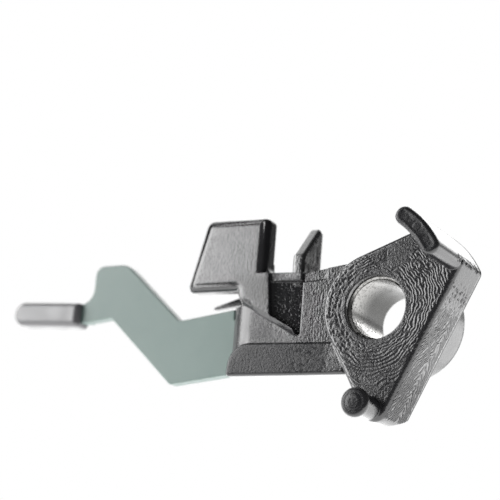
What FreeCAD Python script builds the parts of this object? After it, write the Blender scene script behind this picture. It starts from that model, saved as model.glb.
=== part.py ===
import FreeCAD, Part
import math
import os

# Pivot lever assembly, in millimetres: a hub moulding that turns on a steel sleeve, a flat arm set
# into the moulding, and a grip on the arm's far end.
# Origin: on the axis of the bore, halfway along the sleeve. +Y runs back along the bore, +Z is up,
# and the arm reaches out along -X. Depths below are measured from the hub's front face; the shapes
# are moved to the origin when they are written out.

# --- driving dimensions -------------------------------------------------------------------------

SHAFT_R = 4.0            # the sleeve fits an 8 mm shaft
SLEEVE_WALL = 0.75
SLEEVE_RUN = 0.03        # radial running clearance between the sleeve and the moulding
SLEEVE_END_PLAY = 0.05
SLEEVE_CHAMFER = 0.3

HUB_BACK = 12.4          # back end of the barrel
PLATE_BACK = 7.8         # back face of the plate around the bore
LIP_R = 4.35             # front lip that hides the sleeve's end
LIP_DEPTH = 0.9
SNAP_R = 4.6             # rear bead that the sleeve snaps past
SNAP_DEPTH = 0.4

RING_R = 7.8             # front boss around the bore
BARREL_R = 8.0
RIM_R = 13.3             # outer arc of the plate, shared by the lug
RIM_CORNER_R = 0.9       # the two ends of the outer arc
PLATE_EDGE_R = 0.7
PLATE_REAR_EDGE_R = 0.7
BARREL_EDGE_R = 0.5

LUG_INNER_R = 10.8
LUG_FRONT = -7.9
LUG_FROM, LUG_TO = 28.5, 55.0     # degrees, between the centres of the rounded ends
LUG_EDGE_R = 0.5

PIN_X, PIN_Z = 0.1, -13.55
PIN_R = 1.5
PIN_FRONT = -5.0
PIN_HEAD_R = 1.95
PIN_HEAD_LENGTH = 1.2
PIN_EDGE_R = 0.55
END_X, END_Z = 0.6, -13.4
END_R = 1.9              # rounded lower end of the plate

CORNER_ANGLE = 25.0      # where the outer arc meets the straight right side
SHOULDER_ANGLE = 57.0    # where the outer arc meets the sloping top

BODY_LEFT, BODY_RIGHT = -23.2, -4.0        # the right end is inside the hub
BODY_FRONT = 1.3
BODY_BACK = 7.4
BODY_BOTTOM = -8.85
UNDERSIDE_SLOPE = 0.22
NOSE_TOP = 1.4
NOSE_R = 5.0             # the front curves back to the arm's face at its left end

TAB_LEFT, TAB_RIGHT = -30.5, -17.6
TAB_TOP, TAB_BOTTOM = 14.2, 3.5
TAB_FRONT, TAB_BACK = 0.4, 3.5
TAB_FRONT_EDGE_R = 1.35
TAB_BACK_EDGE_R = 0.5
BRACKET_CORNER_X, BRACKET_CORNER_Z = -21.3, 1.6
BRACKET_SLOPE = -0.56    # the bracket's lower edge drops towards the right
BRACKET_BEVEL = 0.75
BRACKET_NOTCH_X = -22.0  # step between the bracket and the tab's left half
CHEEK_HIGH_X, CHEEK_LOW_X = -16.8, -16.1   # the bracket's right edge, farther right than the tab's
CHEEK_TOP = 5.7

PANEL_RIGHT = -11.7      # raised panel between the bracket and the hub
PANEL_FRONT = 0.95
PANEL_EDGE_R = 0.25
POCKET_SHALLOW, POCKET_DEEP = 0.9, 2.5     # depth of the pocket's floor at its left and right ends
POCKET_TOP = 4.55        # the rail runs above this

LEDGE_LEFT = -22.5
LEDGE_FRONT = 0.2
LEDGE_TOP = -4.2
LEDGE_CORNER_R = 3.3
LEDGE_EDGE_R = 0.45

FIN_LEFT, FIN_RIGHT = -14.05, -12.2
FIN_FRONT, FIN_BACK = 2.0, 7.4
FIN_LOW, FIN_HIGH = 8.4, 13.35
FIN_EDGE_R = 0.45

SPUR_FRONT, SPUR_BACK = 5.5, 6.6

ARM_FRONT = 3.0
ARM_T = 1.8
TANG_TOP, TANG_BOTTOM = -0.3, -6.9
TANG_END = -12.5
ANCHOR_X, ANCHOR_Z, ANCHOR_R = -16.5, -3.8, 1.6

GRIP_LEFT, GRIP_RIGHT = -62.85, -50.3
GRIP_FRONT, GRIP_BACK = 1.9, 5.4
GRIP_HEIGHT = 3.75
GRIP_LEFT_Z, GRIP_RIGHT_Z = 1.95, 1.35     # height of the grip's centre line at its two ends
GRIP_EDGE_R = 0.9
SPIGOT_END = -58.5       # end of the arm inside the grip
SPIGOT_HEIGHT = 2.2

V = FreeCAD.Vector
BACKWARD = V(0, 1, 0)
SLEEVE_MIDDLE = (LIP_DEPTH + HUB_BACK - SNAP_DEPTH) / 2


# --- helpers ------------------------------------------------------------------------------------

def at(x, z):
    return V(x, 0, z)


def polar(radius, degrees, centre=V(0, 0, 0)):
    turn = math.radians(degrees)
    return centre + V(radius * math.cos(turn), 0, radius * math.sin(turn))


def rounded_outline(corners):
    """Closed wire in the XZ plane through (x, z, radius) corners, each rounded to its own radius."""
    count = len(corners)
    stops = []
    for i, (x, z, radius) in enumerate(corners):
        here = at(x, z)
        before = at(*corners[i - 1][:2]) - here
        after = at(*corners[(i + 1) % count][:2]) - here
        before.normalize()
        after.normalize()
        half = before.getAngle(after) / 2
        if radius == 0:
            stops.append((here, None, here))
            continue
        reach = radius / math.tan(half)
        bisector = before + after
        bisector.normalize()
        centre = here + bisector * (radius / math.sin(half))
        stops.append((here + before * reach, centre - bisector * radius, here + after * reach))
    edges = []
    for i, (start, middle, end) in enumerate(stops):
        if middle is not None:
            edges.append(Part.Arc(start, middle, end).toShape())
        following = stops[(i + 1) % count][0]
        if end.distanceToPoint(following) > 1e-6:
            edges.append(Part.makeLine(end, following))
    return Part.Wire(edges)


def extrude(wire, front, back):
    """Solid between two planes of constant Y."""
    face = Part.Face(wire)
    face.translate(V(0, front, 0))
    return face.extrude(V(0, back - front, 0))


def plate(corners, front, back):
    return extrude(rounded_outline(corners), front, back)


def cylinder(radius, front, back, x=0.0, z=0.0):
    return Part.makeCylinder(radius, back - front, V(x, front, z), BACKWARD)


def edges_on_plane(shape, y):
    """Edges that lie in the plane of constant Y."""
    flat = []
    for edge in shape.Edges:
        box = edge.BoundBox
        if abs(box.YMin - y) < 1e-4 and abs(box.YMax - y) < 1e-4:
            flat.append(edge)
    return flat


def stands_at(edge, point):
    """Whether the edge runs along Y through point."""
    box = edge.BoundBox
    return box.XLength + box.ZLength < 1e-4 and at(box.XMin, box.ZMin).distanceToPoint(point) < 1e-4


def soften(shape, radius, *planes):
    """Round all edges in the given planes of constant Y."""
    edges = [edge for y in planes for edge in edges_on_plane(shape, y)]
    return shape.makeFillet(radius, edges)


def arc_between(start, middle, end):
    return Part.Arc(start, middle, end).toShape()


# --- hub moulding -------------------------------------------------------------------------------

def hub_plate():
    """Flat plate around the bore: ring, sloping top, outer arc, straight right side and lower end."""
    end = at(END_X, END_Z)
    corner = polar(RIM_R, CORNER_ANGLE)
    shoulder = polar(RIM_R, SHOULDER_ANGLE)

    # Left flank: the common outer tangent of the ring and the lower end.
    spread = math.degrees(math.acos((RING_R - END_R) / end.Length))
    end_bearing = math.degrees(math.atan2(end.z, end.x))
    flank = end_bearing - spread
    ring_low = polar(RING_R, flank)
    end_left = polar(END_R, flank, end)

    # Right side: from the corner, tangent to the lower end.
    to_end = end - corner
    lean = math.degrees(math.asin(END_R / to_end.Length))
    side = math.degrees(math.atan2(to_end.z, to_end.x)) + lean
    end_right = polar(END_R, side + 90, end)

    # Sloping top: from the shoulder, tangent to the ring.
    bearing = math.degrees(math.atan2(shoulder.z, shoulder.x))
    touch = bearing + math.degrees(math.acos(RING_R / shoulder.Length))
    ring_high = polar(RING_R, touch)

    wire = Part.Wire([
        Part.makeLine(corner, end_right),
        arc_between(end_right, polar(END_R, end_bearing, end), end_left),
        Part.makeLine(end_left, ring_low),
        arc_between(ring_low, polar(RING_R, (touch + flank + 360) / 2), ring_high),
        Part.makeLine(ring_high, shoulder),
        arc_between(shoulder, polar(RIM_R, (SHOULDER_ANGLE + CORNER_ANGLE) / 2), corner),
    ])
    solid = extrude(wire, 0, PLATE_BACK)
    rim_ends = [edge for edge in solid.Edges if stands_at(edge, corner) or stands_at(edge, shoulder)]
    solid = solid.makeFillet(RIM_CORNER_R, rim_ends)
    return soften(soften(solid, PLATE_EDGE_R, 0), PLATE_REAR_EDGE_R, PLATE_BACK)


def barrel():
    tube = cylinder(BARREL_R, BODY_FRONT + 1, HUB_BACK)
    return soften(tube, BARREL_EDGE_R, HUB_BACK)


def lug():
    """Arc-shaped rib on the front of the plate, flush with its outer arc."""
    middle_r = (RIM_R + LUG_INNER_R) / 2
    end_r = (RIM_R - LUG_INNER_R) / 2
    low = polar(middle_r, LUG_FROM)
    high = polar(middle_r, LUG_TO)
    centre_angle = (LUG_FROM + LUG_TO) / 2
    wire = Part.Wire([
        arc_between(polar(RIM_R, LUG_FROM), polar(RIM_R, centre_angle), polar(RIM_R, LUG_TO)),
        arc_between(polar(RIM_R, LUG_TO), polar(end_r, LUG_TO + 90, high), polar(LUG_INNER_R, LUG_TO)),
        arc_between(polar(LUG_INNER_R, LUG_TO), polar(LUG_INNER_R, centre_angle),
                    polar(LUG_INNER_R, LUG_FROM)),
        arc_between(polar(LUG_INNER_R, LUG_FROM), polar(end_r, LUG_FROM - 90, low),
                    polar(RIM_R, LUG_FROM)),
    ])
    return soften(extrude(wire, LUG_FRONT, PLATE_BACK - 1), LUG_EDGE_R, LUG_FRONT)


def drive_pin():
    shaft = cylinder(PIN_R, PIN_FRONT + 0.5, PLATE_BACK - 1, PIN_X, PIN_Z)
    head = cylinder(PIN_HEAD_R, PIN_FRONT, PIN_FRONT + PIN_HEAD_LENGTH, PIN_X, PIN_Z)
    return shaft.fuse(soften(head, PIN_EDGE_R, PIN_FRONT, PIN_FRONT + PIN_HEAD_LENGTH))


def underside():
    """Wedge cut away below the body, whose underside rises towards the back."""
    left = BODY_LEFT - 1
    low = BODY_BOTTOM - 2
    rear = BODY_BACK + 1
    side = Part.makePolygon([
        V(left, BODY_FRONT, BODY_BOTTOM),
        V(left, rear, BODY_BOTTOM + (rear - BODY_FRONT) * UNDERSIDE_SLOPE),
        V(left, rear, low),
        V(left, BODY_FRONT, low),
        V(left, BODY_FRONT, BODY_BOTTOM),
    ])
    return Part.Face(side).extrude(V(-left, 0, 0))


def nose_corner():
    """What the nose's curve leaves out of the body's front left corner."""
    drop = ARM_FRONT - BODY_FRONT
    axis_x = BODY_LEFT + math.sqrt(NOSE_R ** 2 - (NOSE_R - drop) ** 2)
    low, height = BODY_BOTTOM - 1, 20
    corner = Part.makeBox(axis_x - BODY_LEFT + 1, drop + 1, height,
                          V(BODY_LEFT - 1, BODY_FRONT - 1, low))
    return corner.cut(Part.makeCylinder(NOSE_R, height, V(axis_x, BODY_FRONT + NOSE_R, low)))


def body():
    """Block between the hub and the arm, with a rounded nose over the arm's root."""
    block = plate([
        (BODY_LEFT, BODY_BOTTOM, 0),
        (BODY_RIGHT, BODY_BOTTOM, 0),
        (BODY_RIGHT, 6.6, 0),
        (-6.5, 6.3, 0),
        (-11.5, 5.55, 4.0),
        (TAB_RIGHT - 0.5, 5.8, 0),
        (-20.2, 5.8, 0.8),
        (-20.8, NOSE_TOP, 0),
        (BODY_LEFT, NOSE_TOP, 0),
    ], BODY_FRONT, BODY_BACK)
    return block.cut(nose_corner()).cut(underside())


def ledge():
    """Proud rib along the bottom of the body."""
    rib = plate([
        (LEDGE_LEFT, BODY_BOTTOM - 0.1, 0.5),
        (BODY_RIGHT, BODY_BOTTOM - 0.1, 0),
        (BODY_RIGHT, LEDGE_TOP - 0.3, 0),
        (LEDGE_LEFT + 0.4, LEDGE_TOP, LEDGE_CORNER_R),
    ], LEDGE_FRONT, ARM_FRONT)
    return soften(rib, LEDGE_EDGE_R, LEDGE_FRONT)


def diagonal(x):
    """Height of the bracket's lower edge at x."""
    return BRACKET_CORNER_Z + BRACKET_SLOPE * (x - BRACKET_CORNER_X)


def tab():
    """Tab that stands up from the body, down to the bracket's diagonal lower edge."""
    sheet = plate([
        (TAB_LEFT, TAB_BOTTOM, 0.7),
        (TAB_LEFT + 2.7, TAB_TOP, 1.4),
        (TAB_RIGHT, TAB_TOP - 0.2, 0.9),
        (TAB_RIGHT, diagonal(TAB_RIGHT), 0),
        (BRACKET_CORNER_X, BRACKET_CORNER_Z, 0.8),
        (BRACKET_NOTCH_X, 2.6, 0.5),
        (BRACKET_NOTCH_X, TAB_BOTTOM, 0.25),
    ], TAB_FRONT, TAB_BACK)
    sheet = soften(sheet, TAB_FRONT_EDGE_R, TAB_FRONT)
    return soften(sheet, TAB_BACK_EDGE_R, TAB_BACK)


def tab_root():
    """Small radius between the tab's side and the top of the body."""
    return plate([
        (TAB_RIGHT - 1, 5.0, 0),
        (TAB_RIGHT - 1, 7.5, 0),
        (TAB_RIGHT, 7.5, 0),
        (TAB_RIGHT, 5.75, 1.3),
        (TAB_RIGHT + 1.7, 5.7, 0),
        (TAB_RIGHT + 1.7, 5.0, 0),
    ], BODY_FRONT, TAB_BACK)


def edges_along_diagonal(shape, y, below):
    """Edges in the plane of constant Y that run that far below the bracket's lower edge line."""
    return [
        edge for edge in edges_on_plane(shape, y)
        if all(abs(end.Z - diagonal(end.X) + below) < 1e-4 for end in edge.Vertexes)
    ]


def bracket_cheek():
    """Right-hand part of the bracket, beyond the tab's own edge."""
    left = TAB_RIGHT - 1.5
    cheek = plate([
        (left, diagonal(left), 0),
        (CHEEK_LOW_X, diagonal(CHEEK_LOW_X), 0),
        (CHEEK_HIGH_X, CHEEK_TOP, 0),
        (left, CHEEK_TOP, 0),
    ], TAB_FRONT, BODY_FRONT + 0.4)
    return cheek.makeChamfer(BRACKET_BEVEL, edges_along_diagonal(cheek, TAB_FRONT, 0))


def bracket_rim():
    """Ridge that carries the bracket's bevelled lower edge on below the pocket."""
    left, right = TAB_RIGHT - 1.5, PANEL_RIGHT - 0.8
    drop = 0.1
    rim = plate([
        (left, diagonal(left) - drop, 0),
        (right, diagonal(right) - drop, 0),
        (right, diagonal(right) + 0.9, 0),
        (left, diagonal(left) + 0.9, 0),
    ], TAB_FRONT + 0.2, BODY_FRONT + 0.4)
    return rim.makeChamfer(BRACKET_BEVEL, edges_along_diagonal(rim, TAB_FRONT + 0.2, drop))


def pocket():
    """Pocket below the rail, whose floor slopes back towards the right."""
    left, right = TAB_RIGHT - 0.5, PANEL_RIGHT
    front = PANEL_FRONT - 1
    opening = plate([
        (left, diagonal(left) + 0.4, 0),
        (right, diagonal(right) + 0.4, 0.3),
        (right, POCKET_TOP - 0.1, 0.3),
        (left, POCKET_TOP, 0),
    ], front, POCKET_DEEP)
    above_floor = Part.makePolygon([
        V(left, front, BODY_BOTTOM),
        V(right, front, BODY_BOTTOM),
        V(right, POCKET_DEEP, BODY_BOTTOM),
        V(left, POCKET_SHALLOW, BODY_BOTTOM),
        V(left, front, BODY_BOTTOM),
    ])
    return opening.common(Part.Face(above_floor).extrude(V(0, 0, 20)))


def panel():
    """Raised panel; the rail runs along its top."""
    left = TAB_RIGHT - 0.5
    sheet = plate([
        (left, diagonal(left), 0),
        (PANEL_RIGHT, diagonal(PANEL_RIGHT) + 0.3, 0.5),
        (PANEL_RIGHT, 5.6, 0),
        (left, 5.8, 0),
    ], PANEL_FRONT, BODY_FRONT + 0.4)
    right_edge = [edge for edge in edges_on_plane(sheet, PANEL_FRONT)
                  if edge.BoundBox.XMin > PANEL_RIGHT - 1e-4]
    return sheet.makeFillet(PANEL_EDGE_R, right_edge)


def fin():
    """Thin wall behind the panel, with a sloping top."""
    side = Part.makePolygon([
        V(FIN_LEFT, FIN_FRONT, 4.0),
        V(FIN_LEFT, FIN_FRONT, FIN_LOW),
        V(FIN_LEFT, FIN_BACK - 1.0, FIN_HIGH),
        V(FIN_LEFT, FIN_BACK, FIN_HIGH - 0.4),
        V(FIN_LEFT, FIN_BACK, 4.0),
        V(FIN_LEFT, FIN_FRONT, 4.0),
    ])
    wall = Part.Face(side).extrude(V(FIN_RIGHT - FIN_LEFT, 0, 0))
    rims = [edge for edge in wall.Edges
            if edge.BoundBox.XLength < 1e-4 and edge.BoundBox.ZMax > 4.1]
    return wall.makeFillet(FIN_EDGE_R, rims)


def rear_spur():
    """Pointed rib behind the arm's root."""
    return plate([
        (-28.4, 1.95, 0),
        (-20.0, 2.9, 0),
        (-20.0, 4.75, 0),
        (-28.4, 2.3, 0),
    ], SPUR_FRONT, SPUR_BACK)


def top_mark():
    """Shallow step beside the ring, from the panel's edge to a square corner."""
    return plate([
        (PANEL_RIGHT - 0.2, 4.2, 0),
        (-8.05, 4.5, 0),
        (-8.05, 8.0, 0),
        (PANEL_RIGHT - 0.2, 8.0, 0),
    ], BODY_FRONT - 1, BODY_FRONT + 0.12)


def hub_moulding():
    shape = hub_plate()
    left_side = body().cut(top_mark()).fuse(panel()).cut(pocket())
    for feature in (ledge(), tab(), bracket_cheek(), tab_root(), bracket_rim(), fin(), rear_spur()):
        left_side = left_side.fuse(feature)
    for feature in (barrel(), left_side, lug(), drive_pin()):
        shape = shape.fuse(feature)
    shape = shape.cut(cylinder(LIP_R, -1, LIP_DEPTH + 0.1))
    shape = shape.cut(cylinder(SHAFT_R + SLEEVE_WALL + SLEEVE_RUN, LIP_DEPTH, HUB_BACK - SNAP_DEPTH))
    shape = shape.cut(cylinder(SNAP_R, HUB_BACK - SNAP_DEPTH - 0.1, HUB_BACK + 1))
    shape = shape.cut(arm_tang())
    shape = shape.fuse(cylinder(ANCHOR_R, ARM_FRONT - 0.5, ARM_FRONT + ARM_T + 0.5, ANCHOR_X, ANCHOR_Z))
    return shape.removeSplitter()


# --- sleeve -------------------------------------------------------------------------------------

def bearing_sleeve():
    front = LIP_DEPTH + SLEEVE_END_PLAY
    back = HUB_BACK - SNAP_DEPTH - SLEEVE_END_PLAY
    tube = cylinder(SHAFT_R + SLEEVE_WALL, front, back)
    tube = tube.cut(cylinder(SHAFT_R, front - 1, back + 1))
    rims = edges_on_plane(tube, front) + edges_on_plane(tube, back)
    return tube.makeChamfer(SLEEVE_CHAMFER, rims)


# --- arm and grip -------------------------------------------------------------------------------

def arm_tang():
    """Part of the arm inside the moulding."""
    return plate([
        (BODY_LEFT - 1, TANG_BOTTOM, 0),
        (TANG_END, TANG_BOTTOM, 1.0),
        (TANG_END, TANG_TOP, 1.0),
        (BODY_LEFT - 1, TANG_TOP, 0),
    ], ARM_FRONT, ARM_FRONT + ARM_T)


def grip_line(x):
    """Height of the grip's centre line at x."""
    share = (x - GRIP_LEFT) / (GRIP_RIGHT - GRIP_LEFT)
    return GRIP_LEFT_Z + share * (GRIP_RIGHT_Z - GRIP_LEFT_Z)


def bar_along_grip(left, right, height, left_r, right_r, front, back):
    half = height / 2
    return plate([
        (left, grip_line(left) - half, left_r),
        (right, grip_line(right) - half, right_r),
        (right, grip_line(right) + half, right_r),
        (left, grip_line(left) + half, left_r),
    ], front, back)


def spigot():
    """End of the arm inside the grip."""
    return bar_along_grip(SPIGOT_END, -49.0, SPIGOT_HEIGHT, 0.6, 0, ARM_FRONT, ARM_FRONT + ARM_T)


def lever_arm():
    """Flat arm, stepped up by a diagonal between its root and its far end."""
    root = BODY_LEFT - 0.1
    neck = GRIP_RIGHT - 0.1
    blade = plate([
        (root, -8.2, 0),
        (root, 1.2, 0),
        (-32.6, -0.1, 0.7),
        (-42.8, 8.95, 3.0),
        (-48.5, 8.9, 1.4),
        (-48.5, 3.2, 2.4),
        (neck, 3.1, 0),
        (neck, 0.1, 0),
        (-44.9, 0.8, 0.6),
        (-33.3, -9.5, 0.7),
    ], ARM_FRONT, ARM_FRONT + ARM_T)
    shape = blade.fuse(arm_tang()).fuse(spigot())
    shape = shape.cut(cylinder(ANCHOR_R, 0, BODY_BACK, ANCHOR_X, ANCHOR_Z))
    return shape.removeSplitter()


def end_grip():
    """Grip moulded over the arm's end, with a half-round tip."""
    tip_r = GRIP_HEIGHT / 2 - 0.05
    bar = bar_along_grip(GRIP_LEFT, GRIP_RIGHT, GRIP_HEIGHT, tip_r, 0.5, GRIP_FRONT, GRIP_BACK)
    bar = soften(bar, GRIP_EDGE_R, GRIP_FRONT, GRIP_BACK)
    return bar.cut(lever_arm())


# --- output -------------------------------------------------------------------------------------

os.makedirs("parts", exist_ok=True)
for make in (hub_moulding, bearing_sleeve, lever_arm, end_grip):
    shape = make()
    solids = shape.Solids
    if len(solids) != 1 or not shape.isValid():
        raise RuntimeError(make.__name__ + " is not one valid solid")
    solid = solids[0]
    solid.translate(V(0, -SLEEVE_MIDDLE, 0))
    solid.exportStep("parts/" + make.__name__ + ".step")
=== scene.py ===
import math
import bpy
import numpy as np
from mathutils import Matrix, Vector


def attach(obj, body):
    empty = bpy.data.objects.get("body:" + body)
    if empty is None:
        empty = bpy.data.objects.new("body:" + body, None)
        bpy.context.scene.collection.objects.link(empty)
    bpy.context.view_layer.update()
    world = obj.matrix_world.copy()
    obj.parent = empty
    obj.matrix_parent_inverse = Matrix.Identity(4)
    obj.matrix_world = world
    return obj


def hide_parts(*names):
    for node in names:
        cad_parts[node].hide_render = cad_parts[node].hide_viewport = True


# Pivot lever: black moulded hub on a steel sleeve, grey-green arm, dark grip. The meshes are worked
# on in millimetres and put back into the frame, in metres, at the end. +Y runs back along the bore,
# +Z is up, and the arm reaches out along -X. The band is the straight right side of the hub's plate.

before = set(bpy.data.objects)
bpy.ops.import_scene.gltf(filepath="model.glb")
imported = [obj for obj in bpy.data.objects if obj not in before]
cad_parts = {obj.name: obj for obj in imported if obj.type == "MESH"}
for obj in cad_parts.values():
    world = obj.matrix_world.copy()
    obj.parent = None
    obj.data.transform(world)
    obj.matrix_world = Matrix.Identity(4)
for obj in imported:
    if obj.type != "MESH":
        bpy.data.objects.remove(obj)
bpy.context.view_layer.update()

MM = 0.001

# --- places on the part, in millimetres ---------------------------------------------------------

FRONT = -6.45                     # front face of the hub
BORE_R = 4.35
RING_EDGE = 8.0                   # just outside the ring around the bore
RIM_R = 13.3                      # outer arc of the plate
LUG_R, LUG_MIDDLE = 12.05, 41.75  # middle of the lug: radius, and degrees above +X
LUG_FRONT = FRONT - 7.9
PIN_X, PIN_Z = 0.1, -13.55
PIN_FRONT = FRONT - 5.0
BAND_START = (0.5, -13.3)         # in the plate's lower end; lengths along the band start here
RIM_CORNER = (12.05, 5.62)        # where the plate's outer arc meets the band
BAND_NORMAL = np.array([0.905, 0.0, -0.425])
BAND_SEAM = 6.9                   # depth of the seam along the rear edge of the band and the arc
LEDGE_TOP = -4.2
FLANK_TOP, FLANK_LEAN = (-7.3, -2.9), 0.54    # left edge of the plate below the ring
TAB_RIGHT = -17.6
POCKET_MIDDLE, POCKET_TOP = -14.1, 4.55
FIN_MIDDLE = -13.1
SKIN_DEPTH = 0.02                 # a groove this deep, in the fine pattern, gets the full painted shade: its shine is taken down

HUB_VOXEL, HUB_FACES = 0.07, 198000
ARM_VOXEL, ARM_FACES = 0.1, 120000
GRIP_VOXEL, GRIP_FACES = 0.1, 60000
SLEEVE_VOXEL, SLEEVE_FACES = 0.09, 90000


# --- noise --------------------------------------------------------------------------------------

def corner_value(cell, seed):
    """Repeatable value from 0 to 1 for each whole-number cell."""
    mixed = cell[:, 0] * 73856093 ^ cell[:, 1] * 19349663 ^ cell[:, 2] * 83492791 ^ seed * 2654435761
    mixed = (mixed ^ (mixed >> 13)) * 1274126177 & 0xFFFFFFFF
    mixed = (mixed ^ (mixed >> 16)) * 668265263 & 0xFFFFFFFF
    return ((mixed ^ (mixed >> 15)) & 0xFFFF) / 65535.0


def noise(points, seed):
    """Smooth noise from -1 to 1 with features about one unit across."""
    cell = np.floor(points).astype(np.int64)
    t = points - cell
    t = t * t * t * (t * (t * 6 - 15) + 10)
    total = np.zeros(len(points))
    for corner in range(8):
        step = np.array([corner & 1, corner >> 1 & 1, corner >> 2 & 1])
        share = np.prod(np.where(step, t, 1 - t), axis=1)
        total += share * corner_value(cell + step, seed)
    return total * 2 - 1


def layered(points, seed, layers=3):
    total = np.zeros(len(points))
    for layer in range(layers):
        total += noise(points * 2.1 ** layer, seed + layer) * 0.55 ** layer
    return total / sum(0.55 ** layer for layer in range(layers))


def rise(value, low, high):
    """0 below low, 1 above high, smooth between; low may be above high."""
    t = np.clip((value - low) / (high - low), 0, 1)
    return t * t * (3 - 2 * t)


# --- mesh helpers -------------------------------------------------------------------------------

def vectors(values, key):
    """One row of three numbers for each of a mesh's values."""
    flat = np.empty(len(values) * 3)
    values.foreach_get(key, flat)
    return flat.reshape(-1, 3)


def surface(piece):
    """Every point of the piece's mesh, and the normal at each."""
    return vectors(piece.data.vertices, "co"), vectors(piece.data.vertex_normals, "vector")


def push_out(piece, points, normals, height):
    """Moves each point along its normal."""
    moved = points + normals * height[:, None]
    piece.data.vertices.foreach_set("co", moved.astype(np.float32).ravel())
    piece.data.update()


def store(piece, name, values):
    """One number for each point of the piece, for its material to read."""
    attribute = piece.data.attributes.new(name, "FLOAT", "POINT")
    attribute.data.foreach_set("value", values.astype(np.float32))


def bake_modifiers(piece):
    """Makes the piece's shape, modifiers included, its plain mesh."""
    graph = bpy.context.evaluated_depsgraph_get()
    old = piece.data
    piece.data = bpy.data.meshes.new_from_object(piece.evaluated_get(graph), depsgraph=graph)
    piece.modifiers.clear()
    bpy.data.meshes.remove(old)


def working_copy(node, name):
    """The CAD node as a new object with closed, joined faces, in millimetres."""
    piece = bpy.data.objects.new(name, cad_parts[node].data.copy())
    bpy.context.scene.collection.objects.link(piece)
    piece.data.transform(Matrix.Scale(1 / MM, 4))
    piece.data.materials.clear()
    weld = piece.modifiers.new("weld", "WELD")
    weld.merge_threshold = 0.0005
    bake_modifiers(piece)
    return piece


def remeshed(piece, voxel, smoothing):
    """An even skin of small faces, smoothed a few times."""
    remesh = piece.modifiers.new("remesh", "REMESH")
    remesh.mode = "VOXEL"
    remesh.voxel_size = voxel
    bake_modifiers(piece)
    smooth = piece.modifiers.new("smooth", "SMOOTH")
    smooth.factor = 0.5
    smooth.iterations = smoothing
    bake_modifiers(piece)


def thinned(piece, faces):
    """Fewer faces, shaded with the normals of the full mesh."""
    piece.data.calc_loop_triangles()
    now = len(piece.data.loop_triangles)
    if now <= faces:
        return
    piece.data.shade_smooth()
    full = bpy.data.objects.new("full", piece.data.copy())
    bpy.context.scene.collection.objects.link(full)
    thin = piece.modifiers.new("thin", "DECIMATE")
    thin.ratio = faces / now
    bake_modifiers(piece)
    shade = piece.modifiers.new("shade", "DATA_TRANSFER")
    shade.object = full
    shade.use_loop_data = True
    shade.data_types_loops = {"CUSTOM_NORMAL"}
    shade.loop_mapping = "POLYINTERP_NEAREST"
    bake_modifiers(piece)
    bpy.data.meshes.remove(full.data)


def settle(piece, body, node, material):
    """Puts a finished piece back into the frame, on its body, in place of its CAD node."""
    piece.data.transform(Matrix.Scale(MM, 4))
    piece.data.materials.clear()
    piece.data.materials.append(material)
    piece.data.polygons.foreach_set("use_smooth", [True] * len(piece.data.polygons))
    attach(piece, body)
    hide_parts(node)


# --- surface relief of the hub ------------------------------------------------------------------

def band_frame(points):
    """Along and across the band: distance up from its start, and depth behind the hub's front."""
    start = np.array(BAND_START)
    run = np.array(RIM_CORNER) - start
    length = np.hypot(*run)
    along = ((points[:, [0, 2]] - start) @ run) / length
    return along, points[:, 1] - FRONT


def ridges(points, seed, layers=2):
    """Thin raised lines between smooth hollows, about -1 to 1."""
    return 1 - 2.6 * np.abs(layered(points, seed, layers))


def furrows(phase):
    """Rounded ridges, one for each unit of phase, with narrow valleys between; from -1 to 1."""
    return 2 * np.abs(np.sin(math.pi * phase)) - 1


def leather(points, facing):
    """Wrinkles that run round the bore on the plate's front face, turning to pits at its left."""
    x, z = points[:, 0], points[:, 2]
    radius = np.hypot(x, z)
    ring = radius + 0.55 * layered(points / 1.8, 11) + 0.15 * noise(points / 0.5, 13)
    wrinkles = furrows(ring / 0.41) * rise(noise(points / 0.6, 15), -0.9, -0.1)
    pits = -rise(noise(points / 0.25, 21) + 0.35 * np.sin(2 * math.pi * radius / 0.5), 0.1, 0.6)
    at_left = rise(x, -1.8, -3.6)
    smooth_patch = rise(np.hypot((x - 1.9) / 3.4, (z - 8.2) / 3.0), 0.75, 1.15)
    amount = facing * smooth_patch * rise(radius, 4.75, 5.3) * rise(z, -7.6, -4.6)
    return amount * (0.023 * wrinkles * (1 - at_left) + 0.026 * pits * at_left)


def flow_lines(points, facing):
    """Long shallow strokes across the lower half of the plate."""
    x, z = points[:, 0], points[:, 2]
    sag = np.hypot(x, z * 0.9) + 0.9 * layered(points / 3.4, 31, 2) + 0.03 * noise(points / 0.5, 33)
    breaks = noise(np.stack([2.5 * np.arctan2(z, x), sag / 0.8, 0 * x], 1), 41)
    reach = rise(z, -4.0, -6.4) * rise(z, -12.5, -9.5)
    return facing * reach * 0.015 * furrows(sag / 0.5) * rise(breaks, -0.6, 0.2)


def fingerprint(points, side):
    """Nested arches, like the grain of a plank, on the band, and pebbles at its upper end."""
    along, depth = band_frame(points)
    middle = 5.0 + 0.7 * noise(np.stack([along / 4, depth * 0, depth * 0], 1), 51)
    arch = 0.38 * along + 0.93 * np.sqrt((depth - middle) ** 2 + 0.2)
    arch += 0.7 * layered(points / 1.9, 53) + 0.08 * noise(points / 0.5, 54)
    pebbles = ridges(points / 0.36, 55, 1) * rise(along, 13.5, 15.5) * rise(along, 20.5, 18.0)
    lines = furrows(arch / 0.43) * rise(along, 17.0, 14.5) + 0.5 * pebbles
    return side * rise(depth, 0.15, 0.5) * rise(depth, 6.95, 6.6) * 0.055 * lines


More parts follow.
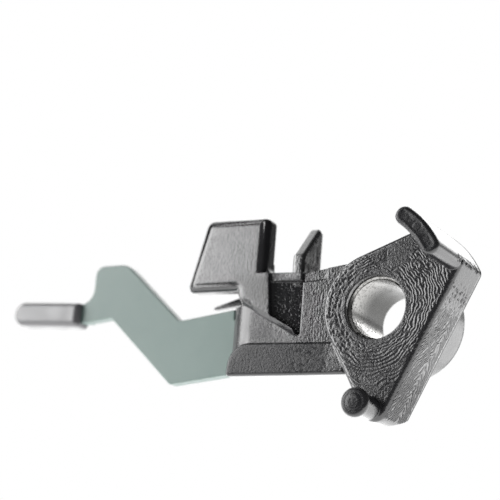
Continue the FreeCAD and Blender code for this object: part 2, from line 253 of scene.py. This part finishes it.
def rim_grain(points, on_arc):
    """Rough grain on the corner of the outer arc, and a thin flash line along the arc's back."""
    from_corner = np.hypot(points[:, 0] - RIM_CORNER[0], points[:, 2] - RIM_CORNER[1])
    grain = -rise(noise(points / 0.28, 57), -0.1, 0.35) * rise(from_corner, 1.1, 0.7)
    depth = points[:, 1] - FRONT
    grain *= rise(points[:, 2], 5.1, 5.5) * rise(depth, -1.5, -0.8) * rise(depth, 6.8, 6.4)
    flash = on_arc * np.exp(-((depth - BAND_SEAM) / 0.09) ** 2)
    return 0.04 * grain + 0.07 * flash


def weld_line(points, facing):
    """Faint straight line above the bore, where two flows of plastic met."""
    x, z = points[:, 0], points[:, 2]
    reach = rise(z, 5.4, 5.9) * rise(z, 9.2, 8.6)
    return -0.006 * facing * reach * np.exp(-((x - 1.33) / 0.07) ** 2)


def parting_step(points, side):
    """Narrow step along the rear edge of the band."""
    along, depth = band_frame(points)
    return -0.10 * side * rise(depth, BAND_SEAM, BAND_SEAM + 0.15) * rise(along, -1.0, 0.5)


def lug_marks(points, front):
    """Shallow dish and round ejector marks in the lug's end."""
    x, z = points[:, 0], points[:, 2]
    on_end = front * rise(points[:, 1], LUG_FRONT + 0.6, LUG_FRONT + 0.3)
    radius = np.hypot(x, z)
    turn = np.degrees(np.arctan2(z, x))
    inside = rise(np.abs(radius - LUG_R), 0.82, 0.4) * rise(np.abs(turn - LUG_MIDDLE), 17.0, 14.0)
    depth = inside * (0.012 * noise(points / 0.5, 67) - 0.035)
    for angle, mark_r, strength in ((32.5, 0.5, 0.008), (43.0, 0.66, 0.022), (52.0, 0.4, 0.01)):
        centre = math.radians(angle)
        away = np.hypot(x - LUG_R * math.cos(centre), z - LUG_R * math.sin(centre))
        depth -= strength * np.exp(-((away - mark_r) / 0.1) ** 2)
    return on_end * depth


def pin_marks(points, front):
    """Raised disc in the middle of the pin's head."""
    away = np.hypot(points[:, 0] - PIN_X, points[:, 2] - PIN_Z)
    on_head = front * rise(points[:, 1], PIN_FRONT + 0.5, PIN_FRONT + 0.25)
    return on_head * (0.07 * rise(away, 1.1, 0.95) + 0.02 * np.exp(-(away / 0.3) ** 2))


def body_grain(points, facing):
    """Upright wrinkles on the face beside the ring, pits in the ledge and speckle in the pocket."""
    x, z = points[:, 0], points[:, 2]
    across = x + 0.35 * layered(points / 1.6, 61) + 0.22 * noise(points / 0.35, 63)
    wrinkles = 0.5 * furrows(across / 0.4) + 0.9 * noise(points / 0.24, 64)
    beside_ring = rise(x, -12.5, -9.0) * rise(z, LEDGE_TOP - 0.2, LEDGE_TOP + 0.2)
    pits = -rise(noise(points / 0.25, 65), 0.4, 0.7)
    in_ledge = rise(z, LEDGE_TOP + 0.1, LEDGE_TOP - 0.5) * rise(x, -15.5, -10.0)
    in_pocket = rise(points[:, 1], FRONT + 1.32, FRONT + 1.4) * rise(np.abs(x - POCKET_MIDDLE), 2.7, 2.3)
    in_pocket *= rise(z, POCKET_TOP + 0.15, POCKET_TOP - 0.15)
    off_ring = rise(np.hypot(x, z), RING_EDGE - 0.1, RING_EDGE + 0.2) * rise(x, -6.0, -7.0)
    relief = 0.014 * beside_ring * wrinkles + 0.008 * in_ledge * pits
    speckle = 0.05 * (ridges(points / 0.3, 69) - 0.3)
    return facing * off_ring * (relief * (1 - in_pocket) + in_pocket * speckle)


def fin_mottle(points, normals):
    """Uneven patches on the fin's right side."""
    on_fin = rise(normals[:, 0], 0.85, 0.97) * rise(points[:, 2], 5.2, 5.8)
    on_fin *= rise(points[:, 0], -14.5, -13.5) * rise(points[:, 0], -6.0, -7.0)
    return 0.05 * on_fin * layered(points / 0.8, 73)


def tab_tilt(points, facing):
    """Sets the flat face of the tab and its bracket back, by up to 0.4 mm, towards its left and top.

    Only the looks have this: the designed face, and the mount on it, are flat.
    """
    x, depth, z = points[:, 0], points[:, 1] - FRONT, points[:, 2]
    on_tab = rise(np.abs(depth - 0.4), 0.3, 0.2) * rise(z, -2.5, -2.0) * rise(x, -15.7, -16.0)
    return facing * on_tab * (0.021 * (x + 17.0) - 0.0022 * np.maximum(z - 4.5, 0) ** 2)


def hub_relief(points, normals):
    """How far each point of the hub's surface moves along its normal: fine pattern, broad shape."""
    depth = points[:, 1] - FRONT
    front = rise(-normals[:, 1], 0.75, 0.95)
    radius = np.hypot(points[:, 0], points[:, 2])
    flank = np.maximum(-RING_EDGE, FLANK_TOP[0] + FLANK_LEAN * (FLANK_TOP[1] - points[:, 2]))
    on_plate = front * rise(np.abs(depth), 0.5, 0.25) * rise(points[:, 0] - flank, -0.1, 0.4)
    side = rise(normals @ BAND_NORMAL, 0.90, 0.97)
    on_arc = rise(np.abs(radius - RIM_R), 0.3, 0.15) * rise(np.abs(normals[:, 1]), 0.5, 0.2)
    fine = leather(points, on_plate) + flow_lines(points, on_plate) + fingerprint(points, side)
    fine += rim_grain(points, on_arc) + body_grain(points, front) + fin_mottle(points, normals)
    broad = 0.009 * layered(points / 4.0, 71, 2) + parting_step(points, side) + tab_tilt(points, front)
    broad += weld_line(points, on_plate) + lug_marks(points, front) + pin_marks(points, front)
    off_bore = rise(radius, BORE_R + 0.1, BORE_R + 0.6)
    return fine * off_bore, broad * off_bore


def painted_shade_areas(points, normals):
    """How much painted shade, as shine duller than the rest, each point of the hub gets apart from its
    grooves: on the ledge, the lug and pin ends, the bracket and the tab's right side.
    """
    x, depth, z = points[:, 0], points[:, 1] - FRONT, points[:, 2]
    front = rise(-normals[:, 1], 0.75, 0.95)
    ledge = 0.65 * rise(z, LEDGE_TOP + 0.1, LEDGE_TOP - 0.3) * rise(x, -6.5, -7.5)
    lug_and_pin = 0.75 * rise(depth, -4.0, -4.5)
    bracket = 0.25 * rise(np.abs(x + 19.3), 3.4, 2.8)
    bracket *= rise(z, 7.0, 4.0) * rise(z, LEDGE_TOP, LEDGE_TOP + 0.4)
    tab_side = rise(np.abs(x - TAB_RIGHT), 0.6, 0.4) * rise(z, 5.5, 6.0)
    return front * (ledge + lug_and_pin + bracket) + tab_side * rise(normals[:, 0], 0.5, 0.8)


def painted_highlight_areas(points, normals):
    """Painted highlight, as extra shine, in the middle of the band, and on the fin apart from its right
    side.
    """
    along, _ = band_frame(points)
    band = rise(normals @ BAND_NORMAL, 0.90, 0.97) * rise(along, 3.0, 9.0) * rise(along, 18.0, 15.0)
    fin = rise(np.abs(points[:, 0] - FIN_MIDDLE), 1.3, 1.1) * rise(points[:, 2], 5.0, 5.5)
    return 0.8 * (band + fin * rise(normals[:, 0], 0.5, 0.2))


# --- pieces -------------------------------------------------------------------------------------

def hub_piece(material):
    piece = working_copy("hub_moulding", "moulded_hub")
    remeshed(piece, HUB_VOXEL, 3)
    points, normals = surface(piece)
    fine, broad = hub_relief(points, normals)
    push_out(piece, points, normals, fine + broad)
    # Painted shade, as lost shine, in the grooves of the fine pattern and on the areas below; painted
    # highlight, as extra shine, is taken off it for the band and fin
    painted_shade_and_highlight = np.clip(-fine / SKIN_DEPTH + painted_shade_areas(points, normals), 0, 1)
    store(piece, "painted_shade_and_highlight", painted_shade_and_highlight - painted_highlight_areas(points, normals))
    thinned(piece, HUB_FACES)
    settle(piece, "lever", "hub_moulding", material)


def arm_piece(material):
    piece = working_copy("lever_arm", "flat_arm")
    remeshed(piece, ARM_VOXEL, 5)
    points, normals = surface(piece)
    ripple = 0.010 * layered(points / 5.0, 81, 2) + 0.004 * noise(points / 0.8, 83)
    push_out(piece, points, normals, ripple)
    tilt = np.abs(normals[:, 1])
    store(piece, "edge", rise(tilt, 0.15, 0.4) * rise(tilt, 0.97, 0.85))
    thinned(piece, ARM_FACES)
    settle(piece, "lever", "lever_arm", material)


def grip_piece(material):
    piece = working_copy("end_grip", "arm_grip")
    remeshed(piece, GRIP_VOXEL, 4)
    points, normals = surface(piece)
    push_out(piece, points, normals, 0.012 * layered(points / 2.5, 91, 2))
    thinned(piece, GRIP_FACES)
    settle(piece, "lever", "end_grip", material)


def sleeve_piece(material):
    piece = working_copy("bearing_sleeve", "steel_sleeve")
    remeshed(piece, SLEEVE_VOXEL, 1)
    thinned(piece, SLEEVE_FACES)
    settle(piece, "sleeve", "bearing_sleeve", material)


# --- materials ----------------------------------------------------------------------------------

class Nodes:
    """Small helper that adds nodes to a tree and links them."""

    def __init__(self, tree):
        self.tree = tree
        tree.nodes.clear()

    def add(self, kind, settings=None, **inputs):
        node = self.tree.nodes.new(kind)
        for key, value in (settings or {}).items():
            setattr(node, key, value)
        for key, value in inputs.items():
            self.feed(node, key, value)
        return node

    def feed(self, node, key, value):
        socket = node.inputs[int(key[1:])] if key[1:].isdigit() else node.inputs[key.replace("_", " ")]
        if isinstance(value, bpy.types.NodeSocket):
            self.tree.links.new(value, socket)
        else:
            socket.default_value = value

    def math(self, operation, a, b):
        return self.add("ShaderNodeMath", {"operation": operation}, i0=a, i1=b).outputs[0]

    def ramp(self, value, low, high, to_low, to_high):
        """Goes smoothly from to_low to to_high while value goes from low to high."""
        node = self.add("ShaderNodeMapRange", {"interpolation_type": "SMOOTHSTEP"}, Value=value,
                        From_Min=low, From_Max=high, To_Min=to_low, To_Max=to_high)
        return node.outputs["Result"]

    def place(self, *scale):
        """Position on the part in millimetres, stretched by scale."""
        coordinates = self.add("ShaderNodeTexCoord").outputs["Object"]
        node = self.add("ShaderNodeVectorMath", {"operation": "MULTIPLY"}, i0=coordinates,
                        i1=tuple(s / MM for s in scale))
        return node.outputs[0]

    def axis(self, letter):
        """Position along X, Y or Z, in millimetres."""
        return self.add("ShaderNodeSeparateXYZ", None, i0=self.place(1, 1, 1)).outputs[letter]

    def noise(self, vector, scale, detail=2.0, distortion=0.0):
        node = self.add("ShaderNodeTexNoise", None, Vector=vector, Scale=scale, Detail=detail,
                        Distortion=distortion)
        return node.outputs[0]

    def mix(self, share, a, b):
        node = self.add("ShaderNodeMix", {"data_type": "RGBA"}, i0=share, i6=a, i7=b)
        return node.outputs[2]

    def bump(self, height, strength, distance, under=None):
        node = self.add("ShaderNodeBump", None, Height=height, Strength=strength,
                        Distance=distance * MM)
        if under is not None:
            self.feed(node, "Normal", under)
        return node.outputs[0]

    def finish(self, **inputs):
        """Ends the material with a principled shader."""
        shader = self.add("ShaderNodeBsdfPrincipled", None, **inputs)
        out = self.add("ShaderNodeOutputMaterial")
        self.tree.links.new(shader.outputs[0], out.inputs["Surface"])


def new_material(name):
    material = bpy.data.materials.new(name)
    material.use_nodes = True
    return material, Nodes(material.node_tree)


def black_nylon():
    material, n = new_material("black_nylon_moulded")
    place = n.place(1, 1, 1)
    broad = n.noise(place, 0.35, 3.0)
    fine = n.noise(place, 9.0, 2.0)
    grain = n.noise(place, 3.2, 3.0, 0.6)
    colour = n.mix(broad, (0.008, 0.008, 0.009, 1), (0.014, 0.014, 0.015, 1))
    # Per-point painted shade (less shine, a little rougher) in grooves and on some areas; negative values
    # are painted highlight (more shine) on the band and fin
    painted_shade_and_highlight = n.add("ShaderNodeAttribute", {"attribute_name": "painted_shade_and_highlight"}).outputs["Fac"]
    polish = n.ramp(n.axis("Y"), FRONT - 4.6, FRONT - 3.6, -0.03, 0.0)
    roughness = n.math("ADD", n.ramp(broad, 0.3, 0.7, 0.12, 0.18), n.math("MULTIPLY", fine, 0.06))
    roughness = n.math("ADD", roughness, n.math("ADD", polish, n.math("MULTIPLY", painted_shade_and_highlight, 0.1)))
    shine = n.math("SUBTRACT", 0.55, n.math("MULTIPLY", painted_shade_and_highlight, 0.47))
    normal = n.bump(grain, 0.8, 0.035)
    normal = n.bump(fine, 0.25, 0.012, normal)
    n.finish(Base_Color=colour, Roughness=roughness, Normal=normal, IOR=1.55, Specular_IOR_Level=shine)
    return material


def sleeve_steel():
    material, n = new_material("sleeve_steel_turned")
    place = n.place(1, 1, 1)
    smear = n.noise(n.place(0.5, 0.22, 0.5), 2.2, 3.0, 0.4)
    specks = n.ramp(n.noise(place, 3.0, 3.0), 0.51, 0.60, 0.0, 1.0)
    rings = n.noise(n.place(0.15, 6.0, 0.15), 1.0, 2.0)
    low = n.ramp(n.axis("Z"), 0.3, -2.8, 0.0, 1.0)
    deep = n.ramp(n.axis("Y"), FRONT + 1.5, FRONT + 7.0, 0.0, 0.95)
    # Painted shade deep in the bore, away from its lower wall
    painted_deep_shade = n.math("MULTIPLY", deep, n.math("SUBTRACT", 1.0, low))
    colour = n.mix(smear, (0.17, 0.168, 0.162, 1), (0.30, 0.296, 0.288, 1))
    # Painted reflection: the lower wall of the bore is made much lighter
    colour = n.mix(low, colour, (0.85, 0.84, 0.82, 1))
    colour = n.mix(painted_deep_shade, colour, (0.016, 0.016, 0.015, 1))
    specks = n.math("MULTIPLY", specks, n.ramp(low, 0.0, 1.0, 0.5, 1.0))
    colour = n.mix(specks, colour, (0.045, 0.045, 0.042, 1))
    roughness = n.math("ADD", n.ramp(smear, 0.3, 0.7, 0.16, 0.30), n.math("MULTIPLY", specks, 0.2))
    normal = n.bump(rings, 0.3, 0.01)
    normal = n.bump(n.noise(place, 3.0, 2.0), 0.4, 0.03, normal)
    n.finish(Base_Color=colour, Metallic=1.0, Roughness=roughness, Normal=normal)
    return material


def arm_paint():
    material, n = new_material("arm_paint_satin")
    place = n.place(1, 1, 1)
    broad = n.noise(place, 0.12, 3.0)
    fine = n.noise(place, 5.0, 3.0)
    colour = n.mix(broad, (0.066, 0.104, 0.093, 1), (0.093, 0.133, 0.12, 1))
    edge = n.add("ShaderNodeAttribute", {"attribute_name": "edge"}).outputs["Fac"]
    # Lighter colour on the rounded edges, broken up by noise
    lighter_edge = n.math("MULTIPLY", edge, n.ramp(fine, 0.4, 0.6, 0.3, 1.0))
    colour = n.mix(lighter_edge, colour, (0.20, 0.24, 0.225, 1))
    roughness = n.ramp(fine, 0.3, 0.7, 0.38, 0.5)
    normal = n.bump(fine, 0.15, 0.02)
    n.finish(Base_Color=colour, Roughness=roughness, Normal=normal, IOR=1.5)
    return material


def grip_plastic():
    material, n = new_material("grip_plastic_smooth")
    place = n.place(1, 1, 1)
    broad = n.noise(place, 0.5, 2.0)
    fine = n.noise(place, 6.0, 2.0)
    colour = n.mix(broad, (0.045, 0.045, 0.048, 1), (0.065, 0.065, 0.068, 1))
    roughness = n.ramp(broad, 0.3, 0.7, 0.3, 0.4)
    n.finish(Base_Color=colour, Roughness=roughness, Normal=n.bump(fine, 0.15, 0.015), IOR=1.65)
    return material


# --- floor, light and camera --------------------------------------------------------------------

LENS, APERTURE = 100.8, 28.0
EYE = Vector((77.39, -170.54, -41.74)) * MM
EYE_RIGHT = Vector((0.86813, 0.48989, 0.07976))
EYE_UP = Vector((0.05962, -0.26246, 0.96310))
EYE_FORWARD = Vector((-0.49275, 0.83133, 0.25706))
FLOOR_NORMAL = Vector((0.128, -0.376, 0.918)).normalized()
FLOOR_POINT = Vector((0.5, FRONT + 4.0, -15.2)) * MM
FLOOR_GLOW, FLOOR_FAR = 2.8, 0.7      # what the part gets back from the floor near it and far away


def make_floor():
    """Pale glowing floor under the part as it lies. Seen from below it is clear, so it blocks no view."""
    size = 2.0
    turn = FLOOR_NORMAL.to_track_quat("Z", "Y")
    corners = [FLOOR_POINT + turn @ Vector((x * size, y * size, 0))
               for x, y in ((-1, -1), (1, -1), (1, 1), (-1, 1))]
    mesh = bpy.data.meshes.new("floor")
    mesh.from_pydata([tuple(c) for c in corners], [], [(0, 1, 2, 3)])
    floor = bpy.data.objects.new("floor", mesh)
    bpy.context.scene.collection.objects.link(floor)
    material, n = new_material("floor_white")
    seen = n.add("ShaderNodeLightPath").outputs["Is Camera Ray"]
    away = n.add("ShaderNodeVectorMath", {"operation": "DISTANCE"}, i0=n.place(1, 1, 1),
                 i1=tuple(FLOOR_POINT / MM))
    lit = n.ramp(away.outputs["Value"], 80.0, 230.0, FLOOR_GLOW, FLOOR_FAR)
    strength = n.add("ShaderNodeMix", {"data_type": "FLOAT"}, i0=seen, i2=lit, i3=1.0).outputs[0]
    white = n.add("ShaderNodeEmission", None, Strength=strength)
    clear = n.add("ShaderNodeBsdfTransparent")
    from_below = n.add("ShaderNodeNewGeometry").outputs["Backfacing"]
    either = n.add("ShaderNodeMixShader", None, i0=from_below)
    out = n.add("ShaderNodeOutputMaterial")
    n.tree.links.new(white.outputs[0], either.inputs[1])
    n.tree.links.new(clear.outputs[0], either.inputs[2])
    n.tree.links.new(either.outputs[0], out.inputs["Surface"])
    mesh.materials.append(material)


def facing(azimuth, elevation):
    """Direction seen at azimuth degrees to the left of -Y, and elevation degrees up."""
    turn, lift = math.radians(azimuth), math.radians(elevation)
    return (-math.sin(turn) * math.cos(lift), -math.cos(turn) * math.cos(lift), math.sin(lift))


def soft_patch(n, direction, centre, inner, outer, strength):
    """Brightness that fades from strength inside one angle about centre to nothing at the other."""
    along = n.add("ShaderNodeVectorMath", {"operation": "DOT_PRODUCT"}, i0=direction, i1=centre)
    near, far = math.cos(math.radians(inner)), math.cos(math.radians(outer))
    return n.ramp(along.outputs["Value"], far, near, 0.0, strength)


def make_world():
    """Dim room with a broad white backdrop behind the part and one soft light at the front left."""
    world = bpy.data.worlds.new("studio")
    bpy.context.scene.world = world
    world.use_nodes = True
    n = Nodes(world.node_tree)
    direction = n.add("ShaderNodeTexCoord").outputs["Generated"]
    backdrop = soft_patch(n, direction, facing(145, 25), 25, 60, 3.2)
    key = soft_patch(n, direction, facing(54, 13), 20, 25, 10.0)
    total = n.math("ADD", n.math("ADD", backdrop, key), 0.13)
    seen = n.add("ShaderNodeLightPath").outputs["Is Camera Ray"]
    strength = n.add("ShaderNodeMix", {"data_type": "FLOAT"}, i0=seen, i2=total, i3=1.0).outputs[0]
    background = n.add("ShaderNodeBackground", None, Color=(1, 1, 1, 1), Strength=strength)
    out = n.add("ShaderNodeOutputWorld")
    n.tree.links.new(background.outputs[0], out.inputs["Surface"])


def make_camera():
    data = bpy.data.cameras.new("camera")
    data.lens = LENS
    data.sensor_width = 36
    data.clip_start = 0.01
    data.clip_end = 10
    camera = bpy.data.objects.new("camera", data)
    bpy.context.scene.collection.objects.link(camera)
    turn = Matrix((EYE_RIGHT, EYE_UP, -EYE_FORWARD)).transposed().to_4x4()
    camera.matrix_world = Matrix.Translation(EYE) @ turn
    target = bpy.data.objects.new("focus", None)
    target.location = Vector((0, FRONT, 0)) * MM
    bpy.context.scene.collection.objects.link(target)
    data.dof.use_dof = True
    data.dof.focus_object = target
    data.dof.aperture_fstop = APERTURE
    bpy.context.scene.camera = camera


bpy.context.scene.view_settings.view_transform = "Standard"
hub_piece(black_nylon())
sleeve_piece(sleeve_steel())
arm_piece(arm_paint())
grip_piece(grip_plastic())
make_floor()
make_world()
make_camera()
